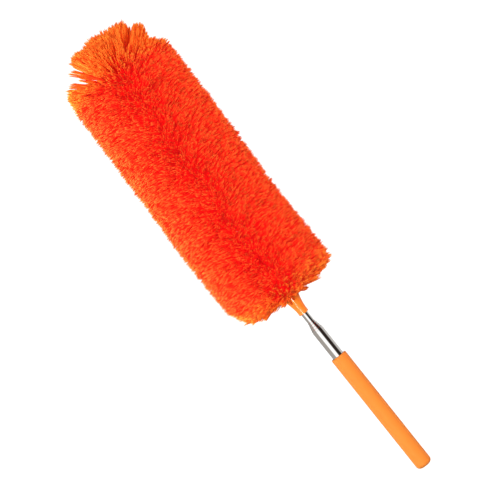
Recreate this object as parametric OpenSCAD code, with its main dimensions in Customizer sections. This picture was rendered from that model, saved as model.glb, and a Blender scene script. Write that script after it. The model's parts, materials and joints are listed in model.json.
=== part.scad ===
// Telescopic feather duster: a moulded grip, a five-section steel pole, a trumpet
// ferrule and a thick synthetic pile on a core that bends and stays bent.
// +Z runs along the pole, from the butt of the grip to the tip of the head.
// The origin is the centre of the grip's butt end. All sizes are in millimetres.

/* [Grip] */
// Length of the moulded grip
grip_length = 140; // [130:1:150]
// Outer diameter of the grip
grip_diameter = 17.4; // [16:0.2:20]
// Radius of the rounded edge at the butt
grip_edge_radius = 4.5; // [2:0.5:6]
// Small easing of the edge at the mouth of the grip
grip_mouth_easing = 0.6; // [0.2:0.1:1]
// Solid thickness that closes the butt
grip_floor = 8; // [6:1:12]

/* [Pole] */
// Outer diameter of the widest tube
pole_diameter = 12.5; // [12:0.1:13]
// Wall of every tube
tube_wall = 0.35; // [0.3:0.01:0.4]
// How much smaller each tube's radius is than the next one out
tube_step = 0.625; // [0.6:0.005:0.65]
// Height of the widest tube's upper end
pole_top = 175.2; // [165:0.1:180]
// How far each closed tube stands out of the next one
ring_step = 2.7; // [2:0.1:3]
// Height of the crimped neck at each tube's upper end
neck_height = 3.2; // [2.5:0.1:4]
// Straight lip at the top of the neck
lip_height = 1.4; // [1:0.1:2]
// Easing of the lip's outer edge
lip_easing = 0.25; // [0.1:0.05:0.3]
// Travel of each sliding stage
stage_travel = 135; // [100:1:136]

/* [Running fits] */
// Radial clearance between parts that slide or turn
running_clearance = 0.04; // [0.02:0.01:0.06]
// Gap left between end stops
stop_gap = 0.3; // [0.2:0.1:0.5]
// Height of the bush on each inner tube's lower end
bush_height = 5; // [4:0.5:6]
// Height of the split friction spring on each inner tube
spring_height = 12; // [8:1:14]
// Width of the slot that splits a friction spring
spring_slot = 1.6; // [1:0.2:2]

/* [Ferrule] */
// Height of the ferrule's lower end
ferrule_bottom = 194.5; // [192:0.5:197]
// Length of the ferrule
ferrule_length = 22.5; // [21:0.5:24]
// Radius of the ferrule's straight lower end
ferrule_radius = 5.4; // [5:0.1:6]
// Radius of the ferrule's flared rim
ferrule_rim_radius = 9.3; // [9:0.1:10]
// Wall at the flared rim
ferrule_rim_wall = 1.2; // [1:0.1:1.4]

/* [Head] */
// Height of the highest strand of the pile
head_top = 546; // [540:1:560]
// Radius of the pile
pile_radius = 58; // [52:1:60]
// Heights of the three places where the core bends
bend_1_height = 300; // [295:1:305]
// Distance from each bend to the next
bend_spacing = 82; // [78:1:84]
// Bend allowed each way at each place, in degrees
bend_limit = 20; // [10:1:20]
// Radius of each of the two core wires
wire_radius = 1.2; // [1:0.1:1.4]
// Distance of each wire from the axis
wire_offset = 1.4; // [1.4:0.1:1.5]

/* [Hidden] */
$fn = 96;

orange = "#fb9140";
steel = "#c8c5c2";
brass = "#c9a24e";
white_plastic = "#e8e4dc";
cloth = "#d8501e";
pile_red = "#ff4a20";

// Tubes are numbered from the outside in: 0 is the widest and 4 the thinnest.
THIN = 4;
function tube_radius(i) = pole_diameter / 2 - i * tube_step;
function tube_bore(i) = tube_radius(i) - tube_wall;
function tube_top(i) = pole_top + i * ring_step;
function neck_start(i) = tube_top(i) - neck_height;
bung_height = 3.7;
// All inner tubes bottom out on the bung at this height.
stack_bottom = grip_floor + bung_height + stop_gap;
bush_top = stack_bottom + bush_height;

ferrule_top = ferrule_bottom + ferrule_length;
// The ferrule's bore for the thin tube stops at this shoulder.
ferrule_shoulder = ferrule_bottom + 17.5;
socket_length = 18;

// Core and backing radii, from the axis outwards
sheath_bore = wire_offset + wire_radius + 0.2;
sheath_radius = 4.6;
backing_radius = 6.6;
hem_height = 3;
pile_bottom = ferrule_top + hem_height;
// The pile solids are thin closed skins: their walls hold the mass of the fibres.
pile_wall = 1.2;
// Slope of the faces on each side of a bend, so that they never meet
groove_angle = bend_limit / 2 + 1;
groove_slope = tan(groove_angle);
bend_gap = 0.5;
wire_gap = 1.2;
bend_height = [for (i = [0:2]) bend_1_height + i * bend_spacing];
dome_centre = head_top - pile_radius;
cap_height = 6;

// Plain ring between two heights
module ring(inner, outer, low, high) {
    difference() {
        translate([0, 0, low])
            cylinder(h = high - low, r = outer);
        translate([0, 0, low - 1])
            cylinder(h = high - low + 2, r = inner);
    }
}

// Tube i with an open lower end and a neck crimped in around the next tube
module necked_tube(i, low) {
    high = tube_top(i);
    neck_bore = tube_radius(i + 1) + running_clearance;
    rotate_extrude()
        polygon([
            [tube_bore(i), low],
            [tube_radius(i), low],
            [tube_radius(i), neck_start(i)],
            [neck_bore + tube_wall, high - lip_height],
            [neck_bore + tube_wall, high - lip_easing],
            [neck_bore + tube_wall - lip_easing, high],
            [neck_bore, high],
            [neck_bore, high - lip_height],
            [tube_bore(i), neck_start(i)]
        ]);
}

// Guide bush on the lower end of tube i, running in the bore of the tube around it
module guide_bush(i) {
    ring(tube_radius(i), tube_bore(i - 1) - running_clearance, stack_bottom, bush_top);
}

// Split spring on tube i: it grips the bore around it and stops at that tube's neck
module friction_spring(i) {
    high = neck_start(i - 1) - stage_travel - stop_gap;
    outer = tube_bore(i - 1) - running_clearance;
    difference() {
        ring(tube_radius(i), outer, high - spring_height, high);
        translate([0, -spring_slot / 2, high - spring_height - 1])
            cube([outer + 1, spring_slot, spring_height + 2]);
    }
}

// Revolved piece of the head between two heights. An end at a bend is cut to a
// cone that leaves room for the bend; any other end is flat.
module head_ring(inner, outer, low, high, low_is_bend, high_is_bend) {
    low_at_inner = low_is_bend ? low + bend_gap + inner * groove_slope : low;
    low_at_outer = low_is_bend ? low + bend_gap + outer * groove_slope : low;
    high_at_inner = high_is_bend ? high - bend_gap - inner * groove_slope : high;
    high_at_outer = high_is_bend ? high - bend_gap - outer * groove_slope : high;
    rotate_extrude()
        polygon([
            [inner, low_at_inner],
            [outer, low_at_outer],
            [outer, high_at_outer],
            [inner, high_at_inner]
        ]);
}

// Two parallel core wires between two heights
module wire_pair(low, high) {
    for (side = [-1, 1])
        translate([0, side * wire_offset, low])
            cylinder(h = high - low, r = wire_radius, $fn = 32);
}

// Pile between two bends, as a closed skin around a sealed space
module pile_skin(low, high) {
    inset = pile_wall / cos(groove_angle);
    difference() {
        head_ring(backing_radius, pile_radius, low, high, true, true);
        head_ring(backing_radius + pile_wall, pile_radius - pile_wall,
            low + inset, high - inset, true, true);
    }
}

// Profile of the pile's flat lower end, thinned by the given inset
module pile_base_profile(inset) {
    low = pile_bottom + inset;
    high = bend_height[0] - bend_gap - inset / cos(groove_angle);
    inner = backing_radius + inset;
    outer = pile_radius - inset;
    corner = 10;
    polygon([
        [inner, low],
        [outer - corner, low],
        [outer, low + corner],
        [outer, high - outer * groove_slope],
        [inner, high - inner * groove_slope]
    ]);
}

// Profile of the pile's domed tip, thinned by the given inset
module pile_tip_profile(inset) {
    low = bend_height[2] + bend_gap + inset / cos(groove_angle);
    inner = backing_radius + inset;
    outer = pile_radius - inset;
    cap_top = dome_centre + cap_height + inset;
    dome = [for (a = [0:9:81]) [outer * cos(a), dome_centre + outer * sin(a)]];
    polygon(concat(
        [[inner, low + inner * groove_slope]],
        [[outer, low + outer * groove_slope]],
        dome,
        [[0, dome_centre + outer]],
        [[0, cap_top], [inner, cap_top]]
    ));
}

module handle_grip() {
    radius = grip_diameter / 2;
    edge = [
        for (a = [0:15:90])
            [
                radius - grip_edge_radius + grip_edge_radius * sin(a),
                grip_edge_radius - grip_edge_radius * cos(a)
            ]
    ];
    color(orange)
        rotate_extrude()
            polygon(concat(
                [[0, 0]],
                edge,
                [[radius, grip_length - grip_mouth_easing]],
                [[radius - grip_mouth_easing, grip_length]],
                [[tube_radius(0), grip_length]],
                [[tube_radius(0), grip_floor]],
                [[0, grip_floor]]
            ));
}

module outer_tube() {
    color(steel)
        necked_tube(0, grip_floor);
}

module outer_tube_bung() {
    color(white_plastic)
        translate([0, 0, grip_floor])
            cylinder(h = bung_height, r = tube_bore(0));
}

module tube_4() {
    color(steel)
        necked_tube(1, stack_bottom);
}

module tube_4_bush() {
    color(brass)
        guide_bush(1);
}

module tube_4_spring() {
    color(brass)
        friction_spring(1);
}

module tube_3() {
    color(steel)
        necked_tube(2, stack_bottom);
}

module tube_3_bush() {
    color(brass)
        guide_bush(2);
}

module tube_3_spring() {
    color(brass)
        friction_spring(2);
}

module tube_2() {
    color(steel)
        necked_tube(3, stack_bottom);
}

module tube_2_bush() {
    color(brass)
        guide_bush(3);
}

module tube_2_spring() {
    color(brass)
        friction_spring(3);
}

// The innermost tube also turns: its friction sleeve is trapped between bush and keeper.
keeper_height = 3;
keeper_top = neck_start(THIN - 1) - stage_travel - stop_gap;
keeper_bottom = keeper_top - keeper_height;

module thin_tube() {
    color(steel)
        ring(tube_bore(THIN), tube_radius(THIN), stack_bottom, ferrule_shoulder);
}

module thin_tube_bush() {
    color(brass)
        guide_bush(THIN);
}

module thin_tube_keeper() {
    color(brass)
        ring(tube_radius(THIN), tube_bore(THIN - 1) - running_clearance,
            keeper_bottom, keeper_top);
}

module thin_tube_plug() {
    color(white_plastic)
        translate([0, 0, stack_bottom])
            cylinder(h = bush_height, r = tube_bore(THIN));
}

module swivel_sleeve() {
    inner = tube_radius(THIN) + running_clearance;
    outer = tube_bore(THIN - 1) - running_clearance;
    low = bush_top + stop_gap;
    high = keeper_bottom - stop_gap;
    color(brass)
        difference() {
            ring(inner, outer, low, high);
            translate([0, -spring_slot / 2, low - 1])
                cube([outer + 1, spring_slot, high - low + 2]);
        }
}

// Plug in the top of the thin tube that both core wires are pinched into
module core_socket() {
    color(brass)
        difference() {
            translate([0, 0, ferrule_shoulder - socket_length])
                cylinder(h = socket_length, r = tube_bore(THIN));
            wire_pair(ferrule_shoulder - socket_length + 2, ferrule_shoulder + 1);
        }
}

module head_ferrule() {
    cup_radius = ferrule_rim_radius - ferrule_rim_wall;
    straight = 3;
    flare_steps = 10;
    flare_height = ferrule_length - straight;
    flare = [
        for (i = [0:flare_steps])
            [
                ferrule_radius + (ferrule_rim_radius - ferrule_radius) * pow(i / flare_steps, 1.7),
                ferrule_bottom + straight + flare_height * i / flare_steps
            ]
    ];
    color(orange)
        rotate_extrude()
            polygon(concat(
                [[tube_radius(THIN), ferrule_bottom]],
                [[ferrule_radius - 0.4, ferrule_bottom]],
                [[ferrule_radius, ferrule_bottom + 0.4]],
                flare,
                [[cup_radius, ferrule_top]],
                [[sheath_radius + 0.6, ferrule_shoulder]],
                [[tube_radius(THIN), ferrule_shoulder]]
            ));
}

// Bound edge of the pile's backing, lying on the ferrule's rim
module pile_hem() {
    color(cloth)
        ring(backing_radius, ferrule_rim_radius, ferrule_top, pile_bottom);
}

wire_start = ferrule_shoulder - socket_length + 2;

module core_wires_base() {
    color(steel)
        wire_pair(wire_start, bend_height[0] - wire_gap);
}

module core_wires_lower() {
    color(steel)
        wire_pair(bend_height[0] + wire_gap, bend_height[1] - wire_gap);
}

module core_wires_upper() {
    color(steel)
        wire_pair(bend_height[1] + wire_gap, bend_height[2] - wire_gap);
}

module core_wires_tip() {
    color(steel)
        wire_pair(bend_height[2] + wire_gap, dome_centre);
}

module core_sheath_base() {
    color(white_plastic)
        head_ring(sheath_bore, sheath_radius, ferrule_shoulder, bend_height[0], false, true);
}

module core_sheath_lower() {
    color(white_plastic)
        head_ring(sheath_bore, sheath_radius, bend_height[0], bend_height[1], true, true);
}

module core_sheath_upper() {
    color(white_plastic)
        head_ring(sheath_bore, sheath_radius, bend_height[1], bend_height[2], true, true);
}

module core_sheath_tip() {
    color(white_plastic)
        head_ring(sheath_bore, sheath_radius, bend_height[2], dome_centre, true, false);
}

module pile_backing_base() {
    color(cloth)
        head_ring(sheath_radius, backing_radius, ferrule_top, bend_height[0], false, true);
}

module pile_backing_lower() {
    color(cloth)
        head_ring(sheath_radius, backing_radius, bend_height[0], bend_height[1], true, true);
}

module pile_backing_upper() {
    color(cloth)
        head_ring(sheath_radius, backing_radius, bend_height[1], bend_height[2], true, true);
}

module pile_backing_tip() {
    color(cloth)
        head_ring(sheath_radius, backing_radius, bend_height[2], dome_centre, true, false);
}

module pile_base() {
    color(pile_red)
        rotate_extrude()
            difference() {
                pile_base_profile(0);
                pile_base_profile(pile_wall);
            }
}

module pile_lower() {
    color(pile_red)
        pile_skin(bend_height[0], bend_height[1]);
}

module pile_upper() {
    color(pile_red)
        pile_skin(bend_height[1], bend_height[2]);
}

module pile_tip() {
    color(pile_red)
        rotate_extrude()
            difference() {
                pile_tip_profile(0);
                pile_tip_profile(pile_wall);
            }
}

// Rounded plastic cap over the end of the core
module core_end_cap() {
    color(white_plastic)
        translate([0, 0, dome_centre])
            rotate_extrude()
                polygon([
                    [0, 0],
                    [backing_radius, 0],
                    [backing_radius, cap_height / 2],
                    [backing_radius - 1, cap_height - 1],
                    [backing_radius - 3, cap_height],
                    [0, cap_height]
                ]);
}

handle_grip();
outer_tube();
outer_tube_bung();
tube_4();
tube_4_bush();
tube_4_spring();
tube_3();
tube_3_bush();
tube_3_spring();
tube_2();
tube_2_bush();
tube_2_spring();
thin_tube();
thin_tube_bush();
thin_tube_keeper();
thin_tube_plug();
swivel_sleeve();
core_socket();
head_ferrule();
pile_hem();
core_wires_base();
core_wires_lower();
core_wires_upper();
core_wires_tip();
core_sheath_base();
core_sheath_lower();
core_sheath_upper();
core_sheath_tip();
pile_backing_base();
pile_backing_lower();
pile_backing_upper();
pile_backing_tip();
pile_base();
pile_lower();
pile_upper();
pile_tip();
core_end_cap();
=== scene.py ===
"""Looks of the telescopic feather duster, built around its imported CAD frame.

Everything is in metres in the CAD frame: +Z runs from the butt of the grip to the tip of the head.
The grip, tubes, ferrule and inner pieces are the CAD nodes with better materials. The pile's plain
skins are replaced by tens of thousands of tapered strands that grow out of the core.
"""

import json
import math

import bpy
import numpy as np
from mathutils import Matrix, Vector


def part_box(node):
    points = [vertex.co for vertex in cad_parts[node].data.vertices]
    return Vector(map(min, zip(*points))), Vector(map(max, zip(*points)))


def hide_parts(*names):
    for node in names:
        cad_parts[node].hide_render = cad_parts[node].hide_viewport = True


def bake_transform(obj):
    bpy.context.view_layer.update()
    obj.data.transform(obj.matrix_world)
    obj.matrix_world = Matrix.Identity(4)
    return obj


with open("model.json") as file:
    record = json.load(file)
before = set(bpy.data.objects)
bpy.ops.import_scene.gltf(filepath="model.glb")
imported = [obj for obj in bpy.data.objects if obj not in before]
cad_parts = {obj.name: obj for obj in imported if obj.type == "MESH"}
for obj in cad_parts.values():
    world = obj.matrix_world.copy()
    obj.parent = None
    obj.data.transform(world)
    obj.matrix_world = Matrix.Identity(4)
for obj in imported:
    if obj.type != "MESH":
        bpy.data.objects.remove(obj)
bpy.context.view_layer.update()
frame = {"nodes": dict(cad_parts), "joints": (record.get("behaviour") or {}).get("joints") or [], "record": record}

MM = 0.001


# ---------------------------------------------------------------- materials

def new_material(name):
    """An empty node material with a Principled shader. Returns the material, its nodes, links and shader."""
    material = bpy.data.materials.new(name)
    material.use_nodes = True
    nodes = material.node_tree.nodes
    links = material.node_tree.links
    return material, nodes, links, nodes["Principled BSDF"]


def set_shader(shader, **values):
    """Sets the shader's own sockets by name, with spaces written as underscores."""
    for name, value in values.items():
        shader.inputs[name.replace("_", " ")].default_value = value


def stretched_noise(nodes, links, scale, detail, stretch):
    """Noise in object space, stretched along the axes by the given factors. Returns its value socket."""
    place = nodes.new("ShaderNodeTexCoord")
    mapping = nodes.new("ShaderNodeMapping")
    mapping.inputs["Scale"].default_value = stretch
    noise = nodes.new("ShaderNodeTexNoise")
    noise.inputs["Scale"].default_value = scale
    noise.inputs["Detail"].default_value = detail
    links.new(place.outputs["Object"], mapping.inputs["Vector"])
    links.new(mapping.outputs["Vector"], noise.inputs["Vector"])
    return noise.outputs["Fac"]


def map_range(nodes, links, value, low, high):
    """Maps a 0.3 to 0.7 noise value to low to high."""
    node = nodes.new("ShaderNodeMapRange")
    node.inputs["From Min"].default_value = 0.3
    node.inputs["From Max"].default_value = 0.7
    node.inputs["To Min"].default_value = low
    node.inputs["To Max"].default_value = high
    links.new(value, node.inputs["Value"])
    return node.outputs["Result"]


def mix_colours(nodes, links, factor, first, second):
    """Mixes two plain colours by a value socket."""
    node = nodes.new("ShaderNodeMix")
    node.data_type = "RGBA"
    node.inputs[6].default_value = (*first, 1)
    node.inputs[7].default_value = (*second, 1)
    links.new(factor, node.inputs[0])
    return node.outputs[2]


def add_bump(nodes, links, shader, height, strength, distance):
    """Bump on the shader's normal from a height socket."""
    bump = nodes.new("ShaderNodeBump")
    bump.inputs["Strength"].default_value = strength
    bump.inputs["Distance"].default_value = distance
    links.new(height, bump.inputs["Height"])
    links.new(bump.outputs["Normal"], shader.inputs["Normal"])


def moulded_plastic(name, colour, shade, roughness, grain, gloss=0.5):
    """Moulded plastic: a faint mottle in the colour and the fine grain of the mould."""
    material, nodes, links, shader = new_material(name)
    mottle = stretched_noise(nodes, links, 90, 3, (1, 1, 0.35))
    links.new(mix_colours(nodes, links, mottle, colour, shade), shader.inputs["Base Color"])
    fine = stretched_noise(nodes, links, 2600, 2, (1, 1, 1))
    rough = map_range(nodes, links, fine, roughness - 0.05, roughness + 0.05)
    links.new(rough, shader.inputs["Roughness"])
    add_bump(nodes, links, shader, fine, grain, 0.0001)
    set_shader(shader, IOR=1.46, Specular_IOR_Level=gloss, Subsurface_Weight=0.12, Subsurface_Scale=0.004)
    shader.inputs["Subsurface Radius"].default_value = (1.0, 0.45, 0.15)
    return material


def polished_steel():
    """Drawn stainless tube: polished, with hair-fine lines along the draw."""
    material, nodes, links, shader = new_material("polished_steel")
    drawn = stretched_noise(nodes, links, 1800, 3, (1, 1, 0.02))
    smudge = stretched_noise(nodes, links, 70, 4, (1, 1, 0.6))
    colour = mix_colours(nodes, links, smudge, (0.90, 0.885, 0.87), (0.82, 0.805, 0.79))
    links.new(colour, shader.inputs["Base Color"])
    links.new(map_range(nodes, links, drawn, 0.07, 0.15), shader.inputs["Roughness"])
    set_shader(shader, Metallic=1.0)
    return material


def spring_brass():
    """Brass of the springs and bushes, with patches of tarnish."""
    material, nodes, links, shader = new_material("spring_brass")
    tarnish = stretched_noise(nodes, links, 260, 4, (1, 1, 1))
    colour = mix_colours(nodes, links, tarnish, (0.80, 0.58, 0.26), (0.55, 0.36, 0.14))
    links.new(colour, shader.inputs["Base Color"])
    links.new(map_range(nodes, links, tarnish, 0.25, 0.45), shader.inputs["Roughness"])
    set_shader(shader, Metallic=1.0)
    return material


def knitted_backing():
    """Backing cloth: a fine knit of crossed waves over a deep red ground."""
    material, nodes, links, shader = new_material("backing_cloth")
    place = nodes.new("ShaderNodeTexCoord")
    waves = []
    for direction in ("Z", "DIAGONAL"):
        wave = nodes.new("ShaderNodeTexWave")
        wave.bands_direction = direction
        wave.inputs["Scale"].default_value = 260
        wave.inputs["Distortion"].default_value = 0.6
        links.new(place.outputs["Object"], wave.inputs["Vector"])
        waves.append(wave.outputs["Fac"])
    knit = nodes.new("ShaderNodeMath")
    knit.operation = "MULTIPLY"
    links.new(waves[0], knit.inputs[0])
    links.new(waves[1], knit.inputs[1])
    colour = mix_colours(nodes, links, knit.outputs[0], (0.55, 0.006, 0.004), (0.90, 0.030, 0.010))
    links.new(colour, shader.inputs["Base Color"])
    add_bump(nodes, links, shader, knit.outputs[0], 0.5, 0.0003)
    set_shader(shader, Roughness=0.85, Sheen_Weight=0.3)
    return material


# Colours of the zones of a strand from root to tip, in linear light: the fibre's red-orange dye, with painted
# shade that deepens the red towards the root and painted light that turns it orange towards the tip. Only the
# strands of the dome and of the lower end reach the last one. Each zone glows a little with painted light that
# fills the shade among the fibres, the last one in a colour of its own. The tones are how strands differ from
# each other in lightness and warmth.
ZONE_DYE_WITH_PAINTED_LIGHT = [
    (0.90, 0.004, 0.005),
    (0.95, 0.009, 0.007),
    (1.00, 0.022, 0.010),
    (0.97, 0.052, 0.015),
    (0.94, 0.120, 0.021),
    (0.96, 0.205, 0.025),
]
ZONE_PAINTED_GLOWS = [0.25, 0.235, 0.21, 0.155, 0.10, 0.16]
PAINTED_GLOW_COLOUR = (1.0, 0.022, 0.022)
LAST_PAINTED_GLOW_COLOUR = (1.0, 0.100, 0.015)
TONES = [(0.76, 0.70), (1.0, 1.0), (1.0, 1.25)]


def strand_materials():
    """One material for each tone and zone of a strand: soft, dyed fibre with a low gloss, whose zone colours carry
    painted light and shade and which glows with painted light.
    """
    materials = []
    last_zone = len(ZONE_DYE_WITH_PAINTED_LIGHT) - 1
    for tone_number, (light, warmth) in enumerate(TONES):
        for zone_number, (red, green, blue) in enumerate(ZONE_DYE_WITH_PAINTED_LIGHT):
            name = f"fibre_tone{tone_number}_zone{zone_number}"
            material, _, _, shader = new_material(name)
            # Painted glow: a little emission that fills the shade among the fibres, in a redder colour for every
            # zone but the last.
            painted_glow = LAST_PAINTED_GLOW_COLOUR if zone_number == last_zone else PAINTED_GLOW_COLOUR
            set_shader(
                shader,
                Base_Color=(red * light, green * light * warmth, blue * light * warmth, 1),
                Roughness=0.55,
                IOR=1.45,
                Specular_IOR_Level=0.12,
                Emission_Color=(*painted_glow, 1),
                Emission_Strength=ZONE_PAINTED_GLOWS[zone_number],
            )
            materials.append(material)
    return materials


STEEL = polished_steel()
BRASS = spring_brass()
CLOTH = knitted_backing()
GRIP = moulded_plastic("grip_plastic", (0.94, 0.305, 0.044), (0.91, 0.280, 0.038), 0.42, 0.05)
FERRULE = moulded_plastic(
    "ferrule_plastic", (0.95, 0.255, 0.026), (0.92, 0.235, 0.022), 0.12, 0.02, gloss=1.0
)
CORE = moulded_plastic("core_plastic", (0.80, 0.77, 0.70), (0.74, 0.70, 0.62), 0.5, 0.1)
SLOT_MATERIALS = {
    "grip_plastic": GRIP,
    "ferrule_plastic": FERRULE,
    "polished_steel": STEEL,
    "spring_brass": BRASS,
    "core_plastic": CORE,
    "backing_cloth": CLOTH,
}


def dress_cad_nodes():
    """Gives every CAD node that stays visible the material of its slot in the record."""
    for subpart in frame["record"]["subparts"]:
        material = SLOT_MATERIALS.get(subpart["material_slot"])
        if material is not None:
            node = frame["nodes"][subpart["node"]]
            node.data.materials.clear()
            node.data.materials.append(material)


# ---------------------------------------------------------------- pile

UP = np.array([0, 0, 1.0])
_, ferrule_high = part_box("head_ferrule")
cap_low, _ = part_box("core_end_cap")
_, base_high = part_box("pile_base")
# The core that the strands grow from
CORE_RADIUS = 6.6 * MM
# The outline that their tips reach: its flat lower end, the height where its side ends and its dome starts,
# its radius and the height of the dome, the radius of its lower corner, and the inner edge of its flat end
PILE_LOW = ferrule_high.z - 2.5 * MM
DOME_START = cap_low.z - 4 * MM
PILE_RADIUS = base_high.x + 1.6 * MM
DOME_HEIGHT = 58.0 * MM
CORNER_RADIUS = 13 * MM
INNER_RIM = 10.5 * MM
# How far the ends of the strands curl over: towards the grip at the sides, towards the tip at the front
# and back, away from the front on both sides of it, and any way in slow waves. A higher power keeps the
# curl nearer to the strand's end.
SIDE_CURL = 2.0 * MM
FRONT_CURL = 5.0 * MM
PARTED_CURL = 12.0 * MM
WAVE_CURL = 2.0 * MM
CURL_POWER = 3.5
# The lines down the front and the back where the curl turns from one side to the other, a crease in front
# and a soft ridge behind: how sharply it turns, how far single tufts stray over the line, and how the line
# wanders, as angles around the core, with the height of one wave.
CREASE_STEEPNESS = 1.8
CREASE_STRAY = 0.20
CREASE_WANDER = 0.11
CREASE_WAVE = 95 * MM
# The lower end: how much shorter the strands of its corner are, all round and more towards -X, how wide
# the corner is, how much shorter the strands of its flat face are, how steeply it rises towards +X and
# from where, and the height over which the rise fades away.
CORNER_TRIM = 1.6 * MM
CORNER_CUT = 8.0 * MM
CORNER_WIDTH = 16 * MM
FACE_TRIM = 4.0 * MM
LOW_RISE = 0.14
LOW_RISE_START = 8 * MM
LOW_RISE_TOP = 22 * MM
# The head's middle line wanders sideways: heights, and how far towards +X it lies there.
LEAN_HEIGHTS = [0.217, 0.240, 0.310, 0.350, 0.400, 0.450, 0.490, 0.550]
LEAN_OFFSETS = [0.0, -1.8 * MM, -2.2 * MM, 0.2 * MM, 2.0 * MM, 3.7 * MM, 4.6 * MM, 4.8 * MM]

SEED = 11
TUFT_COUNT = 5800
STRANDS_PER_TUFT = 8
# The share of tufts left out over the dome
DOME_THINNING = 0.22
# How far the tufts lean any way, and how much their lengths differ: everywhere, and what the lower end and
# the dome add to it
TUFT_LEAN = 1.4 * MM
TUFT_LENGTH = 0.7 * MM
LOW_TUFT_LENGTH = 2.6 * MM
DOME_TUFT_LENGTH = 0.8 * MM
# How far apart the strands of a tuft stand, and how much closer together they stand towards +X
LOW_SPREAD = 1.0 * MM
DOME_SPREAD = 1.15 * MM
SIDE_SPREAD = 1.45 * MM
CLUMPING = 0.35
# The radius below which strands stop turning further around the axis, and the least distance to the tip
LEAST_RADIUS = 6 * MM
TIP_MARGIN = 0.1 * MM
# How far the strands end beyond the outline, and how they fall short of it: a little each, and a share of
# them by much more
REACH = 1.0 * MM
REACH_NOISE = 0.4 * MM
SHORTFALL = 1.5 * MM
SHORT_SHARE = 0.12
SHORT_BY = (2 * MM, 12 * MM)
# How far roots are scattered along the core, how far above the ferrule the lowest ones are, and over what
# heights the roots of the lowest strands and of the dome's are spread, and how far the dome's rise
ROOT_SCATTER = 2.5 * MM
LOWEST_ROOT = 3 * MM
LOW_ROOT_SPAN = 12 * MM
DOME_ROOT_SPAN = 14 * MM
DOME_ROOT_RISE = 8 * MM
# How much of the curl is left at the foot of the dome; it fades to none at the tip.
DOME_LOOSENESS = 0.3
# How much single strands bend by themselves, and how much their rings are off their line
BEND_NOISE = 0.45 * MM
RING_NOISE = 0.12 * MM
# A strand: its width, how much widths differ, the places of its rings from root to tip, their widths, and
# its number of sides
STRAND_WIDTH = 1.3 * MM
WIDTH_RANGE = (0.75, 1.2)
RING_PLACES = np.array([0.0, 0.42, 0.66, 0.83, 0.945])
RING_WIDTHS = np.array([0.30, 0.70, 0.95, 1.0, 0.75])
SIDES = 3
# Chances of the dark, plain and light tone, and the share of strands that take the tone of their tuft
TONE_CHANCES = [0.25, 0.5, 0.25]
TUFT_TONE_SHARE = 0.5
# The colour zones can shift along a strand, by up to MOST_ZONES. Over the dome and around the lower end the
# strands stand apart, and the painted light of their orange zones reaches nearer to the root: the height over
# which that sets in, by how many zones, and how much strands differ in it. A strand that ends below the outline
# is shifted the other way, by one zone for each BURIED_STEP, and so gets painted shade that makes it redder at
# its tip.
MOST_ZONES = 3
DOME_PAINTED_LIGHT_HEIGHT, DOME_PAINTED_LIGHT_ZONES = 32 * MM, 3.2
LOW_PAINTED_LIGHT_HEIGHT, LOW_PAINTED_LIGHT_ZONES = 26 * MM, 2.2
PAINTED_LIGHT_NOISE = 0.8
BURIED_STEP = 2.0 * MM


def outline(length):
    """Radius, height and outward angle of the pile's outline at distances along its meridian, which runs
    out over the flat lower end, round its corner, up the side and over the dome to the tip. Also gives
    the distances at which those four stretches end."""
    flat = PILE_RADIUS - CORNER_RADIUS - INNER_RIM
    corner = CORNER_RADIUS * math.pi / 2
    side = DOME_START - (PILE_LOW + CORNER_RADIUS)
    dome = PILE_RADIUS * math.pi / 2
    ends = np.cumsum([flat, corner, side, dome])
    where = [length < ends[0], length < ends[1], length < ends[2]]
    corner_angle = (length - ends[0]) / CORNER_RADIUS - math.pi / 2
    dome_angle = np.clip((length - ends[2]) / PILE_RADIUS, 0, math.pi / 2)
    angle = np.select(where, [-math.pi / 2, corner_angle, 0.0], dome_angle)
    corner_middle = PILE_RADIUS - CORNER_RADIUS
    radius = np.select(
        where,
        [INNER_RIM + length, corner_middle + CORNER_RADIUS * np.cos(corner_angle), PILE_RADIUS],
        PILE_RADIUS * np.cos(dome_angle),
    )
    height = np.select(
        where,
        [
            PILE_LOW,
            PILE_LOW + CORNER_RADIUS + CORNER_RADIUS * np.sin(corner_angle),
            PILE_LOW + CORNER_RADIUS + (length - ends[1]),
        ],
        DOME_START + DOME_HEIGHT * np.sin(dome_angle),
    )
    return radius, height, angle, ends


def even_places(count, rng):
    """Meridian distances and azimuths of points spread evenly over the outline's area."""
    total = outline(np.array([0.0]))[3][-1]
    samples = np.linspace(0, total, 2000)
    radius = outline(samples)[0]
    area = np.cumsum(np.maximum(radius, 1e-5))
    area = (area - area[0]) / (area[-1] - area[0])
    index = np.arange(count)
    golden = (math.sqrt(5) - 1) / 2
    spread = (index + rng.uniform(0.1, 0.9, count)) / count
    along = np.interp(spread, area, samples)
    around = 2 * math.pi * ((index * golden + rng.normal(0, 0.004, count)) % 1)
    return along, around


def slow_waves(along, around, rng, count=12):
    """A smooth random field over the outline, mostly within -2 to 2, that joins up around the axis."""
    field = np.zeros_like(along)
    for _ in range(count):
        turns = rng.integers(1, 11)
        per_metre = rng.uniform(50, 260) * rng.choice([-1, 1])
        phase = rng.uniform(0, 2 * math.pi)
        field += np.sin(turns * around + per_metre * along + phase)
    return field / math.sqrt(count / 2)


# Partings in the dome, each in a plane through the dome's middle. For each: the angle of the parting above
# +X, half its clear width, how far to its sides strands are pushed, how far it runs towards the front and
# the back in degrees, the share of tufts that still cross it, how far its lips stand up, and how much
# shorter the strands next to it are.
PARTINGS = [
    (48, 3.4 * MM, 20 * MM, 66, 10, 0.03, 8.0 * MM, 6.0 * MM),
    (137, 13.5 * MM, 30 * MM, 60, 60, 0.10, 0.0 * MM, 0.0 * MM),
]
# The angle over which a parting fades out at its front and back ends, and the widths of its lips and of the
# shorter strands, as shares of how far to its sides strands are pushed.
PARTING_FADE = 16
LIP_WIDTH = 0.6
DIP_WIDTH = 0.3
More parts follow.
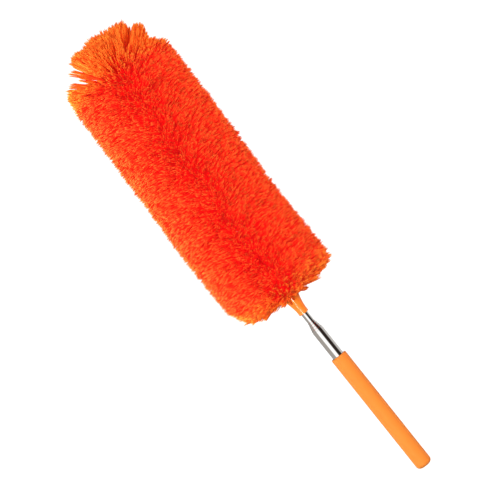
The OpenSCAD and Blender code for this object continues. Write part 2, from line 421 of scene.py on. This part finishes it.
# A dent in the dome's shoulder: its angle above +X, its width in degrees, and its depth.
SHOULDER_ANGLE = 24
SHOULDER_WIDTH = 10
SHOULDER_DENT = 7 * MM


def falloff(offset, width):
    """1 where the offset is zero, and falling to 0 on both sides of it."""
    return np.exp(-((offset / width) ** 2))


def part_strands(tips, tuft, rng):
    """How far the partings of the dome push each tip sideways, and how much longer the strand is."""
    offset = tips - np.array([0, 0, DOME_START])
    push = np.zeros_like(tips)
    rise = np.zeros(len(tips))
    for degrees, half_gap, reach, front, back, crossing, lip, dip in PARTINGS:
        tilt = math.radians(degrees)
        outwards = np.array([math.cos(tilt), 0, math.sin(tilt)])
        normal = np.array([-math.sin(tilt), 0, math.cos(tilt)])
        across = offset @ normal
        turn = np.degrees(np.arctan2(-offset[:, 1], offset @ outwards))
        room = np.minimum(front - turn, back + turn) / PARTING_FADE
        gap = half_gap * np.clip(room, 0, 1)
        near = np.abs(across) < reach
        opened = np.sign(across) * (gap + (reach - gap) * np.abs(across) / reach)
        moved = near & (rng.random(tuft[-1] + 1) > crossing)[tuft]
        push += np.where(moved, opened - across, 0)[:, None] * normal
        raised = lip * falloff(across, LIP_WIDTH * reach) - dip * falloff(across, DIP_WIDTH * reach)
        rise += raised * np.clip(room, 0, 1)
    return push, rise


def lean(points):
    """Shifts points sideways along the head's middle line."""
    moved = points.copy()
    moved[..., 0] += np.interp(points[..., 2], LEAN_HEIGHTS, LEAN_OFFSETS)
    return moved


def directions(around, angle):
    """At points of the outline: straight out from the axis, sideways around it, away from the outline, and
    along its meridian towards the tip."""
    level = np.zeros(len(around))
    outward = np.stack([np.cos(around), np.sin(around), level], 1)
    sideways = np.stack([-np.sin(around), np.cos(around), level], 1)
    normal = outward * np.cos(angle)[:, None] + UP * np.sin(angle)[:, None]
    meridian = -outward * np.sin(angle)[:, None] + UP * np.cos(angle)[:, None]
    return outward, sideways, normal, meridian


def plant_tufts(rng):
    """Where the tufts stand on the outline, and the lean, extra length and spread of each."""
    along, around = even_places(TUFT_COUNT, rng)
    ends = outline(along)[3]
    thin_out = (along > ends[2]) & (rng.random(TUFT_COUNT) < DOME_THINNING)
    along, around = along[~thin_out], around[~thin_out]
    count = len(along)
    low = along < ends[1]
    dome = along > ends[2]
    leaning = rng.normal(0, TUFT_LEAN, (count, 2))
    length = rng.normal(0, TUFT_LENGTH, count)
    length += np.where(low, rng.normal(0, LOW_TUFT_LENGTH, count), 0)
    length += np.where(dome, rng.normal(0, DOME_TUFT_LENGTH, count), 0)
    spread = np.select([low, dome], [LOW_SPREAD, DOME_SPREAD], SIDE_SPREAD)
    return along, around, leaning, length, spread


def spread_tufts(along, around, spread, rng):
    """Moves the strands of each tuft apart over the outline."""
    count = len(along)
    end = outline(along)[3][-1]
    spread = spread * (1 - CLUMPING * np.maximum(np.cos(around), 0))
    along = np.clip(along + rng.normal(0, 1, count) * spread, 0, end - TIP_MARGIN)
    radius = np.maximum(outline(along)[0], LEAST_RADIUS)
    return along, around + rng.normal(0, 1, count) * spread / radius


def place_tips(along, around, tuft, tuft_length, rng):
    """The tip of every strand, and how many zones of painted shade its colours get for ending below the outline.
    """
    count = len(along)
    radius, height, angle, ends = outline(along)
    outward, _, normal, _ = directions(around, angle)
    tips = outward * radius[:, None] + UP * height[:, None]
    reach = REACH + tuft_length[tuft] + rng.normal(0, REACH_NOISE, count)
    reach -= rng.exponential(SHORTFALL, count)
    short = rng.random(count) < SHORT_SHARE
    reach -= np.where(short, rng.uniform(*SHORT_BY, count), 0)
    # Painted shade: one zone redder for each BURIED_STEP by which the strand ends below the outline.
    painted_shade_zones = np.minimum(np.floor(np.maximum(-reach, 0) / BURIED_STEP), MOST_ZONES).astype(int)
    # The lower corner is cut off towards -X, and the lower end rises towards +X.
    corner = falloff(along - (ends[0] + ends[1]) / 2, CORNER_WIDTH)
    reach -= corner * (CORNER_TRIM + CORNER_CUT * np.maximum(-np.cos(around), 0))
    reach -= np.where(along < ends[0], FACE_TRIM, 0)
    tips += normal * reach[:, None]
    low_share = np.clip((PILE_LOW + LOW_RISE_TOP - tips[:, 2]) / LOW_RISE_TOP, 0, 1)
    tips[:, 2] += LOW_RISE * np.maximum(tips[:, 0] - LOW_RISE_START, 0) * low_share
    shoulder = np.degrees(np.arctan2(tips[:, 2] - DOME_START, tips[:, 0])) - SHOULDER_ANGLE
    dent = SHOULDER_DENT * falloff(shoulder, SHOULDER_WIDTH) * np.maximum(np.cos(around), 0)
    pushed, raised = part_strands(tips, tuft, rng)
    return tips + pushed + normal * (raised - dent)[:, None], painted_shade_zones


def place_roots(along, around, rng):
    """The root of every strand, on the side of the core or, under the dome, on its rounded end. Also gives
    how free each strand is to curl."""
    count = len(along)
    _, height, angle, ends = outline(along)
    outward = directions(around, angle)[0]
    on_dome = along > ends[2]
    dome_share = np.clip((along - ends[2]) / (ends[3] - ends[2]), 0, 1)
    root_height = height + rng.normal(0, ROOT_SCATTER, count)
    lowest = ferrule_high.z + LOWEST_ROOT + rng.uniform(0, LOW_ROOT_SPAN, count)
    root_height = np.minimum(np.maximum(root_height, lowest), DOME_START)
    highest = DOME_START - rng.uniform(0, DOME_ROOT_SPAN, count) * (1 - dome_share)
    root_height = np.where(on_dome, highest + DOME_ROOT_RISE * dome_share, root_height)
    root_radius = np.where(on_dome, CORE_RADIUS * np.cos(dome_share * math.pi / 2), CORE_RADIUS)
    loose = np.where(on_dome, DOME_LOOSENESS * (1 - dome_share), 1.0)
    return outward * root_radius[:, None] + UP * root_height[:, None], loose


def bend_strands(along, around, loose, waves, tuft, tuft_lean, rng):
    """How far the end of every strand turns away from its straight line, as an offset."""
    _, height, angle, _ = outline(along)
    _, sideways, _, meridian = directions(around, angle)
    curl_up = waves[0] * WAVE_CURL
    curl_up += FRONT_CURL * np.sin(around) ** 2 - SIDE_CURL * np.cos(around) ** 2
    wander = CREASE_WANDER * np.sin(2 * math.pi * height / CREASE_WAVE)
    stray = rng.normal(0, CREASE_STRAY, len(tuft_lean))[tuft]
    curl_aside = PARTED_CURL * np.tanh(CREASE_STEEPNESS * np.cos(around + wander + stray))
    curl_aside += waves[1] * WAVE_CURL
    bend = meridian * (loose * curl_up + tuft_lean[tuft, 0])[:, None]
    bend += sideways * (loose * curl_aside + tuft_lean[tuft, 1])[:, None]
    return bend + rng.normal(0, BEND_NOISE, bend.shape)


def colour_strands(tips, tuft, painted_shade_zones, rng):
    """The tone of every strand, and how many zones its colours are shifted towards its root: painted light over
    the dome and around the lower end, and painted shade for a strand that ends below the outline.
    """
    count = len(tips)
    tuft_tone = rng.choice(len(TONES), tuft[-1] + 1, p=TONE_CHANCES)[tuft]
    own_tone = rng.choice(len(TONES), count, p=TONE_CHANCES)
    tone = np.where(rng.random(count) < TUFT_TONE_SHARE, tuft_tone, own_tone)
    # Painted light: over the dome and around the lower end the orange zones reach nearer to the root.
    warmth = np.clip((tips[:, 2] - DOME_START) / DOME_PAINTED_LIGHT_HEIGHT, 0, 1) * DOME_PAINTED_LIGHT_ZONES
    warmth += np.clip((PILE_LOW + LOW_PAINTED_LIGHT_HEIGHT - tips[:, 2]) / LOW_PAINTED_LIGHT_HEIGHT, 0, 1) * LOW_PAINTED_LIGHT_ZONES
    warmth += rng.random(count) * PAINTED_LIGHT_NOISE
    # Painted shade: a strand that ends below the outline is shifted back towards red.
    return tone, np.minimum(np.floor(warmth), MOST_ZONES).astype(int) - painted_shade_zones


def grow_strands(rng):
    """Centre points of every strand's rings and tip, and each strand's root height, width, tone, and shift
    of its colour zones."""
    along, around, tuft_lean, tuft_length, tuft_spread = plant_tufts(rng)
    tuft = np.repeat(np.arange(len(along)), STRANDS_PER_TUFT)
    along, around = along[tuft], around[tuft]
    waves = [slow_waves(along, around, rng), slow_waves(along, around, rng)]
    along, around = spread_tufts(along, around, tuft_spread[tuft], rng)
    tips, painted_shade_zones = place_tips(along, around, tuft, tuft_length, rng)
    roots, loose = place_roots(along, around, rng)
    bend = bend_strands(along, around, loose, waves, tuft, tuft_lean, rng)
    straight = tips - roots - bend

    places = np.append(RING_PLACES, 1.0)
    centres = (
        roots[:, None, :]
        + straight[:, None, :] * places[None, :, None]
        + bend[:, None, :] * (places**CURL_POWER)[None, :, None]
    )
    centres[:, 1:-1] += rng.normal(0, RING_NOISE, (len(tips), len(places) - 2, 3))
    width = STRAND_WIDTH * rng.uniform(*WIDTH_RANGE, len(tips))
    tone, shift = colour_strands(tips, tuft, painted_shade_zones, rng)
    return lean(centres), roots[:, 2], width, tone, shift


def strand_faces():
    """The four-sided faces of one strand, then its triangles at the tip and the root, each with the colour
    zones of the faces."""
    rings = len(RING_PLACES)
    quads = []
    quad_zones = []
    for ring in range(rings - 1):
        for side in range(SIDES):
            near, far = ring * SIDES, (ring + 1) * SIDES
            following = (side + 1) % SIDES
            quads.append([near + side, near + following, far + following, far + side])
            quad_zones.append(ring)
    last = (rings - 1) * SIDES
    triangles = [[last + side, last + (side + 1) % SIDES, rings * SIDES] for side in range(SIDES)]
    triangles.append([0, 2, 1])
    triangle_zones = [rings - 1] * SIDES + [0]
    return quads, quad_zones, triangles, triangle_zones


def strand_mesh(name, centres, width, tone, shift, rng, materials):
    """A mesh of three-sided strands that taper to a point, with a material slot for each tone and zone."""
    count = len(centres)
    rings = len(RING_PLACES)
    along = np.diff(centres, axis=1)
    along = np.concatenate([along, along[:, -1:]], axis=1)[:, :rings]
    along /= np.maximum(np.linalg.norm(along, axis=2, keepdims=True), 1e-9)
    helper = rng.normal(0, 1, (count, 1, 3))
    first = np.cross(along, helper)
    first /= np.maximum(np.linalg.norm(first, axis=2, keepdims=True), 1e-9)
    second = np.cross(along, first)
    turn = 2 * math.pi * np.arange(SIDES) / SIDES
    radius = width[:, None, None, None] * RING_WIDTHS[None, :, None, None] / math.sqrt(3)
    ring_points = centres[:, :rings, None, :] + radius * (
        np.cos(turn)[None, None, :, None] * first[:, :, None, :]
        + np.sin(turn)[None, None, :, None] * second[:, :, None, :]
    )
    per_strand = rings * SIDES + 1
    points = np.concatenate([ring_points.reshape(count, rings * SIDES, 3), centres[:, -1:, :]], axis=1)

    quads, quad_zones, triangles, triangle_zones = strand_faces()
    starts = (np.arange(count) * per_strand)[:, None, None]
    quad_loops = (np.array(quads)[None] + starts).reshape(-1)
    triangle_loops = (np.array(triangles)[None] + starts).reshape(-1)
    quad_count = count * len(quads)
    triangle_count = count * len(triangles)

    mesh = bpy.data.meshes.new(name)
    mesh.vertices.add(count * per_strand)
    mesh.vertices.foreach_set("co", points.astype(np.float32).reshape(-1))
    mesh.loops.add(len(quad_loops) + len(triangle_loops))
    loops = np.concatenate([quad_loops, triangle_loops])
    mesh.loops.foreach_set("vertex_index", loops.astype(np.int32))
    mesh.polygons.add(quad_count + triangle_count)
    sizes = np.concatenate([np.full(quad_count, 4), np.full(triangle_count, 3)])
    loop_start = np.concatenate([[0], np.cumsum(sizes)[:-1]])
    mesh.polygons.foreach_set("loop_start", loop_start.astype(np.int32))
    for material in materials:
        mesh.materials.append(material)
    zones = len(ZONE_DYE_WITH_PAINTED_LIGHT)
    first_slot = (tone * zones)[:, None]
    slots = []
    for face_zones in (quad_zones, triangle_zones):
        zone = np.clip(np.array(face_zones)[None] + shift[:, None], 0, zones - 1)
        slots.append((first_slot + zone).reshape(-1))
    slots = np.concatenate(slots)
    mesh.polygons.foreach_set("material_index", slots.astype(np.int32))
    mesh.polygons.foreach_set("use_smooth", np.ones(quad_count + triangle_count, bool))
    mesh.update(calc_edges=True)
    strands = bpy.data.objects.new(name, mesh)
    bpy.context.scene.collection.objects.link(strands)
    return strands


# Each stretch of pile holds the strands rooted nearest one joint of the core: its name, the joint, and the CAD
# skins it replaces.
STRETCHES = [
    ("base", "core_bend_lower", ["pile_base"]),
    ("middle", "core_bend_middle", ["pile_lower", "pile_upper"]),
    ("tip", "core_bend_upper", ["pile_tip"]),
]
# Each stretch is split into pieces, which keeps each below 200,000 triangles.
PARTS_PER_STRETCH = 3


def build_pile():
    """Grows the strands, splits them into pieces by the bend of the core nearest their roots, and hides the CAD
    skins they replace. Returns their pieces.
    """
    rng = np.random.default_rng(SEED)
    pieces = []
    centres, root_height, width, tone, shift = grow_strands(rng)
    materials = strand_materials()
    joints = {joint["name"]: joint for joint in frame["joints"]}
    heights = [joints[joint]["pos_m"][2] for _, joint, _ in STRETCHES]
    limits = [-math.inf] + [(a + b) / 2 for a, b in zip(heights, heights[1:])] + [math.inf]
    share = rng.integers(0, PARTS_PER_STRETCH, len(centres))
    for number, (name, joint_name, nodes) in enumerate(STRETCHES):
        inside = (root_height >= limits[number]) & (root_height < limits[number + 1])
        for part in range(PARTS_PER_STRETCH):
            chosen = inside & (share == part)
            piece = strand_mesh(
                f"pile_strands_{name}_{part + 1}",
                centres[chosen], width[chosen], tone[chosen], shift[chosen], rng, materials,
            )
            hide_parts(*nodes)
            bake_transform(piece)
            pieces.append(piece)
    return pieces


# ---------------------------------------------------------------- studio

def build_floor():
    """A plain pale floor at the height of the butt end."""
    mesh = bpy.data.meshes.new("floor")
    half = 6.0
    corners = [(-half, -half, 0), (half, -half, 0), (half, half, 0), (-half, half, 0)]
    mesh.from_pydata(corners, [], [(0, 1, 2, 3)])
    material, _, _, shader = new_material("floor_white")
    set_shader(shader, Base_Color=(0.9, 0.9, 0.9, 1), Roughness=0.9, Specular_IOR_Level=0.0)
    set_shader(shader, Emission_Color=(1, 1, 1, 1), Emission_Strength=0.95)
    mesh.materials.append(material)
    floor = bpy.data.objects.new("floor", mesh)
    floor.visible_glossy = False
    floor.visible_diffuse = False
    bpy.context.scene.collection.objects.link(floor)


# What a polished tube mirrors, by azimuth in turns: 0 is straight behind the object as seen from the
# camera, 0.25 is towards -X, 0.5 is towards the camera, and 0.75 is towards +X.
MIRRORED = [
    (0.00, (0.60, 0.58, 0.56)),
    (0.01, (1.20, 1.20, 1.20)),
    (0.04, (1.20, 1.20, 1.20)),
    (0.05, (0.03, 0.03, 0.03)),
    (0.08, (0.03, 0.03, 0.03)),
    (0.10, (0.42, 0.39, 0.36)),
    (0.36, (0.42, 0.39, 0.36)),
    (0.387, (1.25, 1.24, 1.23)),
    (0.52, (1.25, 1.24, 1.23)),
    (0.555, (0.028, 0.020, 0.016)),
    (0.705, (0.028, 0.020, 0.016)),
    (0.75, (0.60, 0.58, 0.56)),
    (1.00, (0.68, 0.66, 0.64)),
]

# The mirrored panels are bright for level views and dim for steep ones: where the dimming starts and ends,
# as the sine of the angle above or below level, and how much light is left.
MIRRORED_LEVEL = 0.12
MIRRORED_STEEP = 0.50
MIRRORED_DIMMED = 0.12
# The world's grey for light that is scattered, and its white for the camera
AMBIENT_GREY = (0.30, 0.30, 0.30, 1)
BACKDROP_WHITE = (1.15, 1.15, 1.15, 1)


def build_world():
    """White to the camera, soft panels to mirrors, and an even grey studio to everything else."""
    world = bpy.data.worlds.new("studio")
    bpy.context.scene.world = world
    world.use_nodes = True
    nodes, links = world.node_tree.nodes, world.node_tree.links
    background = nodes["Background"]
    place = nodes.new("ShaderNodeTexCoord")
    parts = nodes.new("ShaderNodeSeparateXYZ")
    azimuth = nodes.new("ShaderNodeMath")
    azimuth.operation = "ARCTAN2"
    turns = nodes.new("ShaderNodeMath")
    turns.operation = "MULTIPLY_ADD"
    turns.inputs[1].default_value = 1 / (2 * math.pi)
    turns.inputs[2].default_value = 0.5
    flip = nodes.new("ShaderNodeMath")
    flip.operation = "MULTIPLY"
    flip.inputs[1].default_value = -1
    ramp = nodes.new("ShaderNodeValToRGB")
    elements = ramp.color_ramp.elements
    elements[0].position, elements[0].color = MIRRORED[0][0], (*MIRRORED[0][1], 1)
    elements[1].position, elements[1].color = MIRRORED[-1][0], (*MIRRORED[-1][1], 1)
    for position, colour in MIRRORED[1:-1]:
        element = elements.new(position)
        element.color = (*colour, 1)
    links.new(place.outputs["Generated"], parts.inputs["Vector"])
    links.new(parts.outputs["Y"], flip.inputs[0])
    links.new(parts.outputs["X"], azimuth.inputs[0])
    links.new(flip.outputs[0], azimuth.inputs[1])
    links.new(azimuth.outputs[0], turns.inputs[0])
    links.new(turns.outputs[0], ramp.inputs["Fac"])
    steepness = nodes.new("ShaderNodeMath")
    steepness.operation = "ABSOLUTE"
    fade = nodes.new("ShaderNodeMapRange")
    fade.inputs["From Min"].default_value = MIRRORED_LEVEL
    fade.inputs["From Max"].default_value = MIRRORED_STEEP
    fade.inputs["To Min"].default_value = 1.0
    fade.inputs["To Max"].default_value = MIRRORED_DIMMED
    panels = nodes.new("ShaderNodeVectorMath")
    panels.operation = "SCALE"
    links.new(parts.outputs["Z"], steepness.inputs[0])
    links.new(steepness.outputs[0], fade.inputs["Value"])
    links.new(ramp.outputs["Color"], panels.inputs[0])
    links.new(fade.outputs["Result"], panels.inputs["Scale"])
    path = nodes.new("ShaderNodeLightPath")
    mirrored = nodes.new("ShaderNodeMix")
    mirrored.data_type = "RGBA"
    mirrored.inputs[6].default_value = AMBIENT_GREY
    links.new(path.outputs["Is Glossy Ray"], mirrored.inputs[0])
    links.new(panels.outputs["Vector"], mirrored.inputs[7])
    seen = nodes.new("ShaderNodeMix")
    seen.data_type = "RGBA"
    seen.inputs[7].default_value = BACKDROP_WHITE
    links.new(path.outputs["Is Camera Ray"], seen.inputs[0])
    links.new(mirrored.outputs[2], seen.inputs[6])
    links.new(seen.outputs[2], background.inputs["Color"])


def lit_by_lamp(name, objects):
    """A collection that limits lamps to the given objects."""
    group = bpy.data.collections.new(name)
    for item in objects:
        group.objects.link(item)
    return group


def add_light(name, position, target, size, power, receivers, colour=(1, 1, 1)):
    """A soft round lamp that neither the camera nor mirrors see, and that lights only its receivers."""
    light = bpy.data.lights.new(name, "AREA")
    light.shape = "DISK"
    light.size = size
    light.energy = power
    light.color = colour
    lamp = bpy.data.objects.new(name, light)
    lamp.location = position
    lamp.rotation_euler = (Vector(target) - Vector(position)).to_track_quat("-Z", "Y").to_euler()
    lamp.visible_glossy = False
    lamp.visible_camera = False
    lamp.light_linking.receiver_collection = receivers
    bpy.context.scene.collection.objects.link(lamp)
    return lamp


def build_camera():
    """Looks level along +Y, rolled so that the upright duster leans to the left in the picture."""
    distance = 1.6
    seen_width = 0.5
    roll = math.radians(38.6)
    middle = Vector((-0.003, 0, 0.2777))
    up = Vector((math.sin(roll), 0, math.cos(roll)))
    right = Vector((math.cos(roll), 0, -math.sin(roll)))
    back = Vector((0, -1, 0))
    camera = bpy.data.cameras.new("camera")
    camera.sensor_width = 36
    camera.lens = camera.sensor_width * distance / seen_width
    camera.clip_end = 50
    camera_object = bpy.data.objects.new("camera", camera)
    matrix = Matrix((right, up, back)).transposed().to_4x4()
    matrix.translation = middle + back * distance
    camera_object.matrix_world = matrix
    bpy.context.scene.collection.objects.link(camera_object)
    bpy.context.scene.camera = camera_object


# Points on the axis that the lamps are turned to, and the tints of two of them
POLE_MIDDLE = (0, 0, 0.15)
PILE_MIDDLE = (0, 0, 0.3)
PILE_LOWER_END = (0, 0, 0.22)
FERRULE_MIDDLE = (0, 0, 0.2)
WARM = (1.0, 0.72, 0.45)
FAINTLY_GREEN = (0.94, 1.0, 0.88)


def build_lights(strands):
    """Hard surfaces are lit mostly from the front, and the pile mostly from its sides, so that its edges
    glow."""
    hard = lit_by_lamp("hard_parts", frame["nodes"].values())
    add_light("key_front_left", (-0.9, -1.5, 0.15), POLE_MIDDLE, 1.0, 30, hard)
    add_light("fill_front_right", (1.2, -1.2, 0.15), POLE_MIDDLE, 1.0, 26, hard, WARM)
    add_light("side_left", (-1.7, 0.25, 0.3), POLE_MIDDLE, 0.9, 16, hard)
    add_light("fill_back", (0.3, 1.6, 0.4), POLE_MIDDLE, 1.0, 18, hard)
    # A tall strip lamp draws the line of light down the glossy ferrule.
    ferrule = lit_by_lamp("ferrule", [frame["nodes"]["head_ferrule"]])
    strip = add_light("ferrule_strip", (-0.55, -1.4, 0.0), FERRULE_MIDDLE, 0.10, 14, ferrule)
    strip.data.shape = "RECTANGLE"
    strip.data.size_y = 1.6
    strip.visible_glossy = True
    pile = lit_by_lamp("pile", strands)
    add_light("pile_front", (-0.45, -1.7, 0.8), PILE_MIDDLE, 0.4, 21, pile)
    add_light("pile_low", (0.15, -0.9, 0.0), PILE_LOWER_END, 0.3, 5.5, pile)
    add_light("pile_left", (-1.6, 0.6, 0.8), PILE_MIDDLE, 1.1, 105, pile)
    add_light("pile_right", (1.65, 0.4, 0.9), PILE_MIDDLE, 0.35, 30, pile, FAINTLY_GREEN)


build_camera()
build_world()
build_floor()
dress_cad_nodes()
build_lights(build_pile())

bpy.context.scene.view_settings.view_transform = "Standard"
